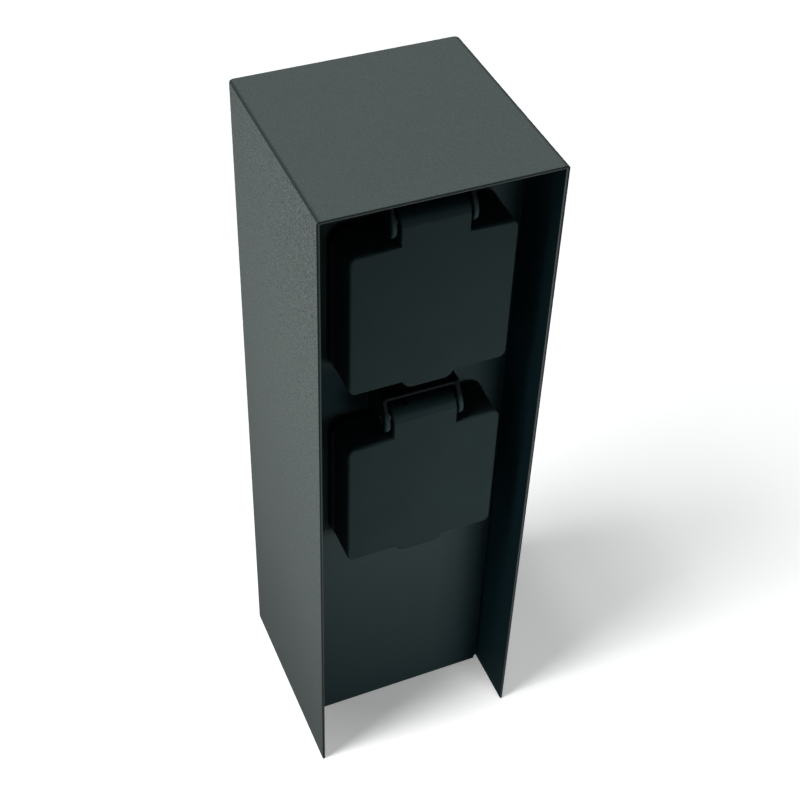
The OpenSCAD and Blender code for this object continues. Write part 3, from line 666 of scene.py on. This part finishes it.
# %% [markdown]
# ## The mouldings behind the lids
# The rubber seals and the grommet are rounded everywhere. The contact bases have a lead-in round
# each opening in front, the caps over the wires a soft rear rim, and the terminal block soft outer
# edges. One rule for all would round every small bore as well, so each kind of piece has its own.


# %% Soften the other mouldings
def every_edge(a, b):
    return True


def at_front(node):
    front = corners_of(node)[0].y
    return lambda a, b: max(a.y, b.y) < front + flush_mm


def at_rear(node):
    rear = corners_of(node)[1].y
    return lambda a, b: min(a.y, b.y) > rear - flush_mm


def on_box(node):
    low, high = corners_of(node)

    def picks(a, b):
        flush = [max(a[i], b[i]) < low[i] + flush_mm or min(a[i], b[i]) > high[i] - flush_mm
                 for i in range(3)]
        return sum(flush) > 1
    return picks


for level in levels:
    base, cap = level + "_contact_base", level + "_rear_cap"
    soften(level + "_lid_seal", every_edge, radius_mm=0.6, steps=3)
    soften(base, at_front(base), radius_mm=0.25, steps=2)
    soften(cap, at_rear(cap), radius_mm=0.5, steps=2)
soften("terminal_block", on_box("terminal_block"), radius_mm=0.5, steps=2)
soften("cable_grommet", every_edge, radius_mm=0.3, steps=2)

# %% [markdown]
# ## Trees of geometry nodes
# What follows a path and what repeats is made by Geometry Nodes: a tree can be read as a recipe,
# and its named inputs turn one recipe into many pieces. A loop over copies would do the same with
# more to keep track of. These helpers open a tree, close it, and turn what it gives into a plain
# mesh.


# %% Tree helpers
def open_tree(name, wanted):
    """A new tree, the identifiers of its named inputs, and a lead from each of them."""
    tree = bpy.data.node_groups.new(name, "GeometryNodeTree")
    inputs = {}
    for label, kind in wanted:
        socket = tree.interface.new_socket(label, in_out="INPUT", socket_type="NodeSocket" + kind)
        inputs[label] = socket.identifier
    given = Lead(tree).node("NodeGroupInput")
    return tree, inputs, [given.other(label) for label in inputs]


def close_tree(tree, shape, finish):
    """Ends a tree: instances made real, the finish set, and the shape put out."""
    shape = shape.node("GeometryNodeRealizeInstances", None, {"Geometry": shape})
    shape = shape.node("GeometryNodeSetMaterial", None, {"Geometry": shape, "Material": finish})
    tree.interface.new_socket("Geometry", in_out="OUTPUT", socket_type="NodeSocketGeometry")
    shape.node("NodeGroupOutput", None, {0: shape})
    print(tree.name, "has", len(tree.nodes), "nodes")


def as_plain_mesh(source, name):
    """The evaluated object as a plain mesh object; the source and its modifier are removed."""
    bpy.context.view_layer.update()
    depsgraph = bpy.context.evaluated_depsgraph_get()
    mesh = bpy.data.meshes.new_from_object(source.evaluated_get(depsgraph), depsgraph=depsgraph)
    bpy.data.objects.remove(source)
    return put_in_scene(name, mesh)


def grow(source, tree, inputs, values, name):
    """Runs a tree on an object with the given values, and returns a plain mesh object."""
    nodes = source.modifiers.new(tree.name, "NODES")
    nodes.node_group = tree
    for label, value in values.items():
        nodes[inputs[label]] = value
    return as_plain_mesh(source, name)


# %% [markdown]
# ## One tree for all that is drawn along a path
# A spring and a covered wire are the same thing to a modeller: a round section swept along a path.
# A curve with a round bevel would sweep it too, but could not store how far round the section each
# point is, which the striped cover reads. The tree takes the path as the object's own curve, and
# its named inputs are the wire's radius, the number of sides and the finish.


# %% The sweep tree
def make_sweep():
    tree, inputs, (path, radius, sides, finish) = open_tree("wire_along_a_path", (
        ("Path", "Geometry"), ("Wire radius", "Float"), ("Sides", "Int"), ("Finish", "Material")))
    section = path.node("GeometryNodeCurvePrimitiveCircle", {"mode": "RADIUS"},
                        {"Resolution": sides, "Radius": radius})
    turn = path.node("GeometryNodeInputIndex") / sides * (2 * math.pi)
    round_side = turn.maths("COSINE", turn)
    section = path.node("GeometryNodeStoreNamedAttribute",
                        {"data_type": "FLOAT", "domain": "POINT"},
                        {"Geometry": section, "Name": "round_side", "Value": round_side})
    swept = path.node("GeometryNodeCurveToMesh", None,
                      {"Curve": path, "Profile Curve": section, "Fill Caps": True})
    swept = path.node("GeometryNodeSetShadeSmooth", None, {"Geometry": swept})
    close_tree(tree, swept, finish)
    return tree, inputs


sweep, sweep_inputs = make_sweep()


# %% Draw a wire
def draw_wire(name, points_mm, radius_mm, cover, smooth, sides=14):
    """Sweeps a round wire through the points, in smooth bends or in straight steps."""
    curve = bpy.data.curves.new(name + "_path", "CURVE")
    curve.dimensions = "3D"
    line = curve.splines.new("BEZIER" if smooth else "POLY")
    if smooth:
        curve.resolution_u = 10
        line.bezier_points.add(len(points_mm) - 1)
        for knot, point in zip(line.bezier_points, points_mm):
            knot.co = Vector(point) * MM
            knot.handle_left_type = knot.handle_right_type = "AUTO"
    else:
        line.points.add(len(points_mm) - 1)
        for knot, point in zip(line.points, points_mm):
            knot.co = (*(Vector(point) * MM), 1)
    piece = grow(put_in_scene(name + "_path", curve), sweep, sweep_inputs,
                 {"Wire radius": radius_mm * MM, "Sides": sides, "Finish": cover}, name)
    print(name, "is swept with", len(piece.data.polygons), "faces")
    return piece


# %% [markdown]
# ## The lid springs
# A torsion spring closes each lid. It is wound on the hinge pin from 0.8 mm wire: one straight leg
# rests on the housing, the coil makes a little over six curls, and the other leg pushes on the
# back of the lid. Here it is drawn in place on the pin; it is not attached to a body.

# %% Wind the springs
wire_mm = 0.8
curl_radius = 2.3
curls, steps_per_curl = 6, 24
coil_half = 5.7
first_turn, last_turn = 30.0, 360.0 * curls + 180.0
leg_seat, leg_low, leg_tip = 7.15, -6.3, -8.1
leg_rest = 2 * wire_mm


def spring_points(hinge):
    """The path of the wire, in millimetres, from the leg on the housing to the one on the lid."""
    steps = round(steps_per_curl * (last_turn - first_turn) / 360)
    coil = []
    for i in range(steps + 1):
        angle = math.radians(first_turn + (last_turn - first_turn) * i / steps)
        coil.append((coil_half * (2 * i / steps - 1),
                     curl_radius * math.cos(angle), curl_radius * math.sin(angle)))
    start = [(-coil_half, leg_seat, leg_low), (-coil_half, leg_seat - leg_rest, leg_low)]
    end = [(coil_half, -curl_radius, leg_tip / 2), (coil_half, -curl_radius, leg_tip)]
    return [(x, hinge.y + y, hinge.z + z) for x, y, z in start + coil + end]


for level in levels:
    hinge = hinge_at(level)
    spring = draw_wire(level + "_lid_spring_wound", spring_points(hinge),
                       wire_mm / 2, drawn_wire, smooth=False, sides=10)
    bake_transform(spring)
    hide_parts(level + "_lid_spring")
    cad_nodes[level + "_hinge_pin"].data.materials[0] = drawn_wire

# %% [markdown]
# ## The wires inside
# Behind the panel, three wires go from the terminal block up to the lower socket and on to the
# upper one, and an earth wire loops to the stud on the panel. Each runs straight out of its clamp
# and bends where there is room. Straight pieces with elbows would look stiffer than copper is;
# smooth curves through a few points give the bends, with the same sweep as the springs.

# %% Ways of the wires
wire_radius = 1.3
feed_lean = [0, 0, 0.05, 0.25, 0.5, 0.75, 0.95, 1]
feed_rise = [0, 0.12, 0.28, 0.42, 0.54, 0.67, 0.83, 1]
link_bow = [0, 0, 0.15, 0.7, 1, 0.7, 0.15, 0, 0]
loop_lean = [0, 0, 0.1, 0.35, 0.65, 0.88, 0.98, 1, 1]
loop_dip = [0, 0.35, 0.7, 0.93, 1, 0.9, 0.6, 0.25, 0]


def along(a, b, share):
    return a + (b - a) * share


def room(node):
    """The corners between which a wire's middle line runs; it ends square, so z keeps its ends."""
    skin = Vector((wire_radius, wire_radius, 0))
    low, high = corners_of(node)
    return low + skin, high - skin


def fit_wire(node, points, cover):
    """Draws a wire in place of its solid."""
    take_place(draw_wire(node + "_drawn", points, wire_radius, cover, smooth=True), node)


# %% Draw the wires
covers = {"live": brown_cover, "earth": striped_cover, "neutral": blue_cover}
pole, clamp = room("live_feed_wire")
below_cap = corners_of("lower_rear_cap")[0].z
for side, (wire, cover) in zip((1, 0, -1), covers.items()):
    feed = [(side * along(pole.x, clamp.x, lean), along(pole.y, clamp.y, lean),
             along(pole.z, below_cap, rise)) for lean, rise in zip(feed_lean, feed_rise)]
    fit_wire(wire + "_feed_wire", feed + [(side * clamp.x, clamp.y, clamp.z)], cover)
    low, high = room(wire + "_link_wire")
    link = [(side * clamp.x, along(low.y, high.y, bow),
             along(low.z, high.z, i / (len(link_bow) - 1))) for i, bow in enumerate(link_bow)]
    fit_wire(wire + "_link_wire", link, cover)

low, high = room("panel_earth_wire")
block_z, lug_z = corners_of("terminal_block")[0].z, corners_of("earth_lug")[0].z
sag = (block_z + lug_z) / 2 - low.z - wire_radius
loop = [(along(low.x, high.x, lean), along(high.y, low.y, lean),
         along(block_z, lug_z, i / (len(loop_dip) - 1)) - sag * dip)
        for i, (lean, dip) in enumerate(zip(loop_lean, loop_dip))]
fit_wire("panel_earth_wire", loop, striped_cover)

# %% [markdown]
# ## Screws and nuts
# The solids of the screws are plain turned shapes without a recess for the driver. Here one screw
# of each kind is turned from its profile and its cross or slot is cut out, and one tree then sets
# copies in rows at the real pitches. A recess drawn by a finish would be quicker, but it would look
# flat close by.

# %% Turn one fastener
sharp_angle = math.radians(32)


def add_piece(shape, name):
    """Makes an object of a bmesh, with its folds marked sharp."""
    bmesh.ops.recalc_face_normals(shape, faces=shape.faces)
    mesh = bpy.data.meshes.new(name)
    shape.to_mesh(mesh)
    shape.free()
    mesh.shade_smooth()
    mesh.set_sharp_from_angle(angle=sharp_angle)
    return put_in_scene(name, mesh)


def turned(name, profile_mm, sides=32, hollow=False):
    """Turns a profile of (radius, depth) round the Y axis. The head is at depth 0, facing -Y."""
    shape = bmesh.new()
    angles = [2 * math.pi * i / sides for i in range(sides)]
    rings = [[shape.verts.new((radius * MM * math.cos(a), depth * MM, radius * MM * math.sin(a)))
              for a in angles] for radius, depth in profile_mm]
    bands = list(zip(rings, rings[1:])) + ([(rings[-1], rings[0])] if hollow else [])
    for first, second in bands:
        for i in range(sides):
            j = (i + 1) % sides
            shape.faces.new((first[i], first[j], second[j], second[i]))
    if not hollow:
        shape.faces.new(rings[0])
        shape.faces.new(rings[-1])
    return add_piece(shape, name)


# %% Cut the recess
cross_taper = 0.55


def cut_recess(screw, arms, half_length, half_width, depth):
    """Cuts a slot, or a cross of two slots, into a screw's head."""
    for k in range(arms):
        shape = bmesh.new()
        bmesh.ops.create_cube(shape, size=2.0)
        for corner in shape.verts:
            taper = cross_taper if corner.co.y > 0 and arms == 2 else 1.0
            corner.co = Vector((corner.co.x * half_length * taper, corner.co.y * depth,
                                corner.co.z * half_width * taper)) * MM
        bmesh.ops.rotate(shape, verts=shape.verts, cent=(0, 0, 0),
                         matrix=Matrix.Rotation(math.radians(90 * k), 3, "Y"))
        tool = add_piece(shape, "recess_tool")
        cut = screw.modifiers.new("recess", "BOOLEAN")
        cut.operation = "DIFFERENCE"
        cut.solver = "EXACT"
        cut.object = tool
        screw = as_plain_mesh(screw, screw.name)
        bpy.data.objects.remove(tool)
    return screw


# %% [markdown]
# ### Rows of fasteners
# Screws and nuts sit in rows and columns round the middle of what they hold, and two of them on a
# diagonal. Named inputs give the rows and the pitches, so every kind of fastener uses the same
# tree.


# %% The tree of rows
def make_rows():
    tree, inputs, leads = open_tree("fasteners_in_rows", (
        ("Base", "Geometry"), ("Columns", "Int"), ("Rows", "Int"), ("Pitch across", "Float"),
        ("Pitch up", "Float"), ("Step up", "Float"), ("Middle", "Vector"), ("Fastener", "Object"),
        ("Finish", "Material")))
    columns, rows, across, upward, step, middle, fastener, finish = leads[1:]
    index = columns.node("GeometryNodeInputIndex")
    column = index.maths("MODULO", index, columns) - (columns - 1) / 2
    row = index.maths("FLOOR", index / columns) - (rows - 1) / 2
    place = index.node("ShaderNodeCombineXYZ", None,
                       {"X": column * across, "Z": row * upward + column * step})
    place = index.node("ShaderNodeVectorMath", {"operation": "ADD"}, {0: place, 1: middle})
    spots = index.node("GeometryNodePoints", None, {"Count": columns * rows, "Position": place})
    one = index.node("GeometryNodeObjectInfo", {"transform_space": "ORIGINAL"},
                     {"Object": fastener}, "Geometry")
    laid = index.node("GeometryNodeInstanceOnPoints", None, {"Points": spots, "Instance": one})
    close_tree(tree, laid, finish)
    return tree, inputs


rows_tree, rows_inputs = make_rows()


# %% Lay the rows
def length_of(node):
    low, high = corners_of(node)
    return high.y - low.y


def lay_rows(node, make, sizes, columns=1, rows=1, looks_back=False, diagonal=False):
    """Makes one fastener, sets copies of it in place of a node's solids, and removes it.

    The pitches come from the reach of the solids, less the fastener's own half width and height.
    """
    pattern, half_width, half_height = make(node, **sizes)
    low, high = corners_of(node)
    across = (high.x - low.x - 2 * half_width) / max(columns - 1, 1)
    upward = (high.z - low.z - 2 * half_height) / max(rows - 1, 1)
    middle = (low + high) / 2
    middle.y = high.y if looks_back else low.y
    if looks_back:
        pattern.data.transform(Matrix.Rotation(math.pi, 4, "Z"))
    base = put_in_scene(node + "_rows", bpy.data.meshes.new(node + "_rows"))
    piece = grow(base, rows_tree, rows_inputs, {
        "Columns": columns, "Rows": rows, "Pitch across": across * MM,
        "Pitch up": 0.0 if diagonal else upward * MM,
        "Step up": upward * MM if diagonal else 0.0,
        "Middle": middle * MM, "Fastener": pattern,
        "Finish": finish_of_slot[slot_of[node]]}, node + "_set")
    bpy.data.objects.remove(pattern)
    print(piece.name, "has", len(piece.data.polygons), "faces, pitch",
          round(across, 2), round(upward, 2))
    take_place(piece, node)


# %% [markdown]
# ### The screws that show
# Two countersunk screws hold the hood at the foot of its back wall, and four hold each socket's
# flange, which shows when a lid is lifted. Plain discs would do from afar. Lengths and places are
# measured on the solids; the recess is a share of the head.

# %% Hood and flange screws
hood_screw = {"head": 3.3, "thread": 2.0}
flange_screw = {"head": 2.8, "thread": 1.5}
rim_step, rim_depth = 0.12, 0.1
point_step, point_length = 0.35, 0.4


def countersunk(node, head, thread):
    """A countersunk screw with a cross recess, its head flush at depth 0, and its half sizes."""
    length = length_of(node)
    screw = turned(node + "_one", [
        (head - rim_step, 0), (head, rim_depth), (thread, head - thread),
        (thread, length - point_length), (thread - point_step, length)])
    screw = cut_recess(screw, arms=2, half_length=head * 0.56, half_width=head * 0.13,
                       depth=head * 0.42)
    return screw, head, head


lay_rows("hood_screws", countersunk, hood_screw, columns=2, looks_back=True)
for level in levels:
    lay_rows(level + "_flange_screws", countersunk, flange_screw, columns=2, rows=2)

# %% [markdown]
# ### The fasteners inside
# Behind the panel are the slotted clamp screws on the contacts, the screws of the contact bases
# and of the terminal block, and hexagon nuts. A nut could be a plain prism, but a real one has its
# corners turned off. So it is turned as a ring, and its outer points are then drawn in to the
# flats, which keeps the chamfer on the corners.

# %% Screws and nuts inside
contact_screw = {"head": 2.2, "thread": 1.25, "cross": False}
base_screw = {"head": 2.4, "thread": 1.2, "cross": True}
pole_screw = {"thread": 1.4}
small_nut = {"flats": 5.5, "bore": 1.55}
stud_nut = {"flats": 7.0, "bore": 2.05}
head_height, head_step = 1.5, 0.2
end_step, end_length, top_step = 0.25, 0.3, 0.15
chamfer, chamfer_depth, lead_in, clear_of_bore = 0.45, 0.28, 0.25, 0.3
nut_angle = math.radians(25)


def cheese_head(node, head, thread, cross):
    """A screw with a raised round head, cross recessed or slotted, and its half sizes."""
    length = length_of(node)
    screw = turned(node + "_one", [
        (head - head_step, 0), (head, head_step), (head, head_height), (thread, head_height),
        (thread, length - end_length), (thread - end_step, length)])
    if cross:
        screw = cut_recess(screw, arms=2, half_length=head * 0.6, half_width=head * 0.13,
                           depth=head_height * 0.6)
    else:
        screw = cut_recess(screw, arms=1, half_length=head * 1.2, half_width=head * 0.16,
                           depth=head_height * 0.5)
    return screw, head, head


def headless(node, thread):
    """A slotted clamp screw without a head, and its half sizes."""
    length = length_of(node)
    screw = turned(node + "_one", [
        (thread - top_step, 0), (thread, top_step), (thread, length - end_length),
        (thread - end_length, length)], sides=24)
    screw = cut_recess(screw, arms=1, half_length=1.6, half_width=0.25, depth=0.8)
    return screw, thread, thread


def hex_nut(node, flats, bore):
    """A hexagon nut with chamfered corners and a chamfered bore, and its half sizes."""
    corner, height = flats / math.sqrt(3), length_of(node)
    nut = turned(node + "_one", [
        (bore + lead_in, 0), (corner - chamfer, 0), (corner, chamfer_depth),
        (corner, height - chamfer_depth), (corner - chamfer, height), (bore + lead_in, height),
        (bore, height - lead_in), (bore, lead_in)], sides=24, hollow=True)
    for point in nut.data.vertices:
        radius = math.hypot(point.co.x, point.co.z)
        if radius > (bore + clear_of_bore) * MM:
            angle = math.atan2(point.co.z, point.co.x)
            sector = (angle + math.pi / 6) % (math.pi / 3) - math.pi / 6
            flat = flats / 2 * MM / math.cos(math.pi / 6 - abs(sector))
            share = min(radius, flat) / radius
            point.co.x *= share
            point.co.z *= share
    nut.data.set_sharp_from_angle(angle=nut_angle)
    return nut, corner, flats / 2


# %% Lay the fasteners inside
for level in levels:
    lay_rows(level + "_contact_screws", cheese_head, contact_screw, columns=3, looks_back=True)
    lay_rows(level + "_base_screws", cheese_head, base_screw, columns=2, looks_back=True,
             diagonal=True)
    lay_rows(level + "_flange_nuts", hex_nut, small_nut, columns=2, rows=2)
lay_rows("terminal_block_nuts", hex_nut, small_nut, columns=2)
lay_rows("earth_nut", hex_nut, stud_nut)
lay_rows("terminal_block_screws", headless, pole_screw, columns=3, rows=2, looks_back=True)

# %% [markdown]
# ## The white sweep
# A product picture stands on a white paper sweep. More light would make the paper white, but would
# fade the post too. So the floor is white by its colour, and gives back a little light of its own
# to the camera so that it stays white away from the lamps, but it still takes the post's shadow.
# Next to the post, where paper gets less light from around it, that share is smaller. What mirrors
# the floor shows the same light, and the air above it is white in the same way.

# %% Paper floor
floor_size, floor_drop = 6.0, 0.0002
dim_paper, white_paper, white_air = (0.08, 0.08, 0.08, 1), (0.97, 0.97, 0.97, 1), (1, 1, 1, 1)
dim_air, paper_glow = (0.064, 0.08, 0.086, 1), (1.01, 1.0, 0.99, 1)
near_post, open_paper = 25.0, 55.0
near_glow, open_glow = 0.21, 0.34


def seen_rays(lead):
    """1 for what the camera sees, also in a mirror or through glass, 0 for light that bounces."""
    ray = lead.node("ShaderNodeLightPath", out="Is Camera Ray")
    return ray + ray.other("Is Glossy Ray") + ray.other("Is Transmission Ray")


bpy.ops.mesh.primitive_plane_add(size=floor_size, location=(0, 0, -floor_drop))
floor = bpy.context.object
floor.name = "paper_floor"
paper, at = start_finish("white_paper")
seen = seen_rays(at)
matt = at.node("ShaderNodeBsdfDiffuse", None, {"Color": blend(seen, dim_paper, white_paper)})
from_post = at.node("ShaderNodeVectorMath", {"operation": "LENGTH"}, {0: at}, "Value") / MM
own_light = near_glow + between(from_post, near_post, open_paper) * (open_glow - near_glow)
glow = at.node("ShaderNodeEmission", None, {"Color": paper_glow, "Strength": seen * own_light})
both = at.node("ShaderNodeAddShader", None, {0: matt, 1: glow})
at.node("ShaderNodeOutputMaterial", None, {"Surface": both})
floor.data.materials.append(paper)
print("floor", floor.name, "with", len(paper.node_tree.nodes), "nodes")

# %% White air
world = bpy.data.worlds.new("studio")
bpy.context.scene.world = world
world.use_nodes = True
world.node_tree.nodes.clear()
air = Lead(world.node_tree)
air_tone = blend(seen_rays(air), dim_air, white_air)
backdrop = air.node("ShaderNodeBackground", None, {"Color": air_tone, "Strength": 1.0})
air.node("ShaderNodeOutputWorld", None, {"Surface": backdrop})
print("air", world.name, "with", len(world.node_tree.nodes), "nodes")

# %% [markdown]
# ## Light
# A long strip of light is bent over the post from the left: four suns in an arc, narrow from front
# to back. It keeps the sides of the shadow crisp while its end fades out. A small panel of light
# beside the left wall makes that side the palest. Neither reaches into the recess, so another
# panel in front lifts the lids. Suns light the whole floor evenly, where one nearby lamp would
# leave a bright pool.

# %% Lamps
strip_width = 34.0
floor_light = 1.95
to_back = math.radians(5)
suns = ((80, 0.17), (71, 0.25), (62, 0.28), (50, 0.3))


def add_lamp(name, kind, towards, strength, place=(0, 0, 0)):
    lamp = bpy.data.lights.new(name, kind)
    lamp.energy = strength
    stand = put_in_scene(name, lamp)
    stand.location = place
    stand.rotation_mode = "QUATERNION"
    stand.rotation_quaternion = Vector(towards).to_track_quat("-Z", "Y")
    stand.visible_camera = False
    return lamp


for degrees_up, share in suns:
    slope = math.radians(degrees_up)
    away = Vector((math.cos(to_back), math.sin(to_back), 0)) * math.cos(slope)
    sun = add_lamp(f"strip_{degrees_up}", "SUN", away - Vector((0, 0, math.sin(slope))),
                   share * floor_light / math.sin(slope))
    sun.angle = math.radians(strip_width * math.cos(slope))
side_panel = add_lamp("side_panel", "AREA", towards=(1, 0, 0), strength=0.26,
                      place=(-0.25, -0.04, 0.19))
side_panel.size = 0.06
side_panel.color = (1.0, 0.94, 0.91)
front_panel = add_lamp("front_panel", "AREA", towards=(-0.45, 1, 0), strength=0.12,
                       place=(0.1, -0.22, 0.125))
front_panel.size = 0.08
bpy.context.scene.view_settings.view_transform = "Standard"
print("lamps", [o.name for o in bpy.data.objects if o.type == "LIGHT"])

# %% [markdown]
# ## Camera
# The picture is taken from the front left, looking down at 43 degrees, with the camera turned a
# touch about its own line of sight. A camera set by eye would leave the edges a few pixels off, so
# its place, direction and lens were worked out from the post's corners.

# %% Camera
camera_at = Vector((-0.145548, -0.333114, 0.484635))
heading, tilt, roll = math.radians(24.3955), math.radians(43.4267), math.radians(2.2653)
focal_px, image_px, sensor_mm = 1489.334, 800, 36.0
line_of_sight = Vector((math.sin(heading) * math.cos(tilt), math.cos(heading) * math.cos(tilt),
                        -math.sin(tilt)))
level_right = line_of_sight.cross(Vector((0, 0, 1))).normalized()
level_up = level_right.cross(line_of_sight)
right = math.cos(roll) * level_right + math.sin(roll) * level_up
up = math.cos(roll) * level_up - math.sin(roll) * level_right
lens = bpy.data.cameras.new("camera")
lens.sensor_width = sensor_mm
lens.lens = focal_px / image_px * sensor_mm
lens.clip_start, lens.clip_end = 0.01, 20.0
camera = put_in_scene("camera", lens)
turned_to = Matrix((right, up, -line_of_sight)).transposed()
camera.matrix_world = Matrix.LocRotScale(camera_at, turned_to, None)
bpy.context.scene.camera = camera
print("camera at", [round(c / MM) for c in camera_at], "mm, lens of", round(lens.lens, 1), "mm")
